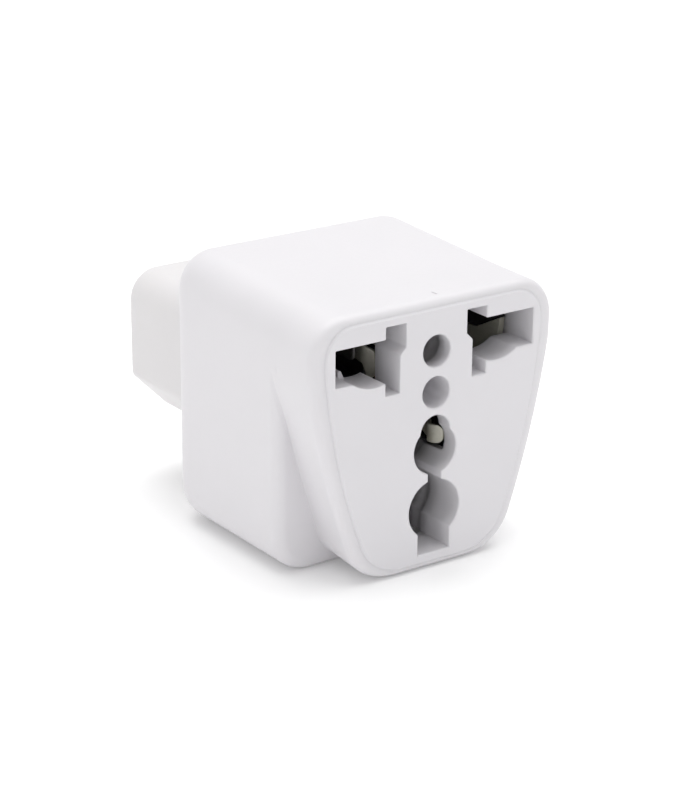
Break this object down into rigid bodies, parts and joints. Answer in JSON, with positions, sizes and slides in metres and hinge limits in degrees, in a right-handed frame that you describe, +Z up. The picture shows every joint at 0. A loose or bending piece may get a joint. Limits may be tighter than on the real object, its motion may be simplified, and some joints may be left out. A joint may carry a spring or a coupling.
{
  "type": "travel adapter",
  "caption": "Compact travel adapter with a universal multi-standard socket face on a tapered front, a boxy body, and a shrouded three-blade appliance plug at the back.",
  "frame": {"origin": "under the middle of the adapter's overall box, on the surface it stands on", "axes": "+X to the right when facing the socket, +Y from the socket face to the plug, +Z up with the earth opening below the pin line"},
  "size_m": [0.036, 0.0484, 0.036],
  "materials": {
    "white_shell": "satin moulded",
    "white_face": "satin moulded",
    "plug_plastic": "fine matt moulded",
    "fibre_board": "pressed sheet",
    "black_carrier": "matt moulded",
    "terminal_brass": "stamped",
    "leaf_metal": "nickel washed spring sheet",
    "blade_metal": "nickel plated",
    "screw_steel": "zinc plated",
    "rivet_brass": "turned"
  },
  "bodies": {
    "root": {"housing": "white_shell", "face_plate": "white_face", "plug_base": "plug_plastic", "blade_retainer": "fibre_board", "contact_carrier": "black_carrier", "line_terminal": "terminal_brass", "neutral_terminal": "terminal_brass", "earth_terminal": "terminal_brass", "line_blade": "blade_metal", "neutral_blade": "blade_metal", "earth_blade": "blade_metal", "carrier_screws": "screw_steel", "terminal_rivets": "rivet_brass"},
    "line_inner_leaf": {"line_inner_leaf": "leaf_metal"},
    "neutral_inner_leaf": {"neutral_inner_leaf": "leaf_metal"},
    "line_middle_leaf": {"line_middle_leaf": "leaf_metal"},
    "neutral_middle_leaf": {"neutral_middle_leaf": "leaf_metal"},
    "earth_upper_left_leaf": {"earth_upper_left_leaf": "leaf_metal"},
    "earth_upper_right_leaf": {"earth_upper_right_leaf": "leaf_metal"},
    "earth_lower_left_leaf": {"earth_lower_left_leaf": "leaf_metal"},
    "earth_lower_right_leaf": {"earth_lower_right_leaf": "leaf_metal"}
  },
  "joints": [
    {"name": "line_inner_spring", "type": "hinge", "parent": "root", "child": "line_inner_leaf", "pos_m": [-0.005, -0.00475, 0.0267], "axis": [0, 0, 1], "range_deg": [0, 3.5], "stiffness_Nm_per_rad": 0.1},
    {"name": "neutral_inner_spring", "type": "hinge", "parent": "root", "child": "neutral_inner_leaf", "pos_m": [0.005, -0.00475, 0.0267], "axis": [0, 0, -1], "range_deg": [0, 3.5], "stiffness_Nm_per_rad": 0.1},
    {"name": "line_middle_spring", "type": "hinge", "parent": "root", "child": "line_middle_leaf", "pos_m": [-0.0075, -0.00475, 0.0287], "axis": [0, 0, 1], "range_deg": [-2, 3.2], "stiffness_Nm_per_rad": 0.1},
    {"name": "neutral_middle_spring", "type": "hinge", "parent": "root", "child": "neutral_middle_leaf", "pos_m": [0.0075, -0.00475, 0.0287], "axis": [0, 0, -1], "range_deg": [-2, 3.2], "stiffness_Nm_per_rad": 0.1},
    {"name": "earth_upper_left_spring", "type": "hinge", "parent": "root", "child": "earth_upper_left_leaf", "pos_m": [-0.00255, -0.00475, 0.01595], "axis": [0, 0, -1], "range_deg": [0, 3.5], "stiffness_Nm_per_rad": 0.1},
    {"name": "earth_upper_right_spring", "type": "hinge", "parent": "root", "child": "earth_upper_right_leaf", "pos_m": [0.00255, -0.00475, 0.01595], "axis": [0, 0, 1], "range_deg": [0, 3.5], "stiffness_Nm_per_rad": 0.1},
    {"name": "earth_lower_left_spring", "type": "hinge", "parent": "root", "child": "earth_lower_left_leaf", "pos_m": [-0.0022, -0.00475, 0.00863], "axis": [0, 0, -1], "range_deg": [0, 9.5], "stiffness_Nm_per_rad": 0.1},
    {"name": "earth_lower_right_spring", "type": "hinge", "parent": "root", "child": "earth_lower_right_leaf", "pos_m": [0.0022, -0.00475, 0.00863], "axis": [0, 0, 1], "range_deg": [0, 9.5], "stiffness_Nm_per_rad": 0.1}
  ]
}
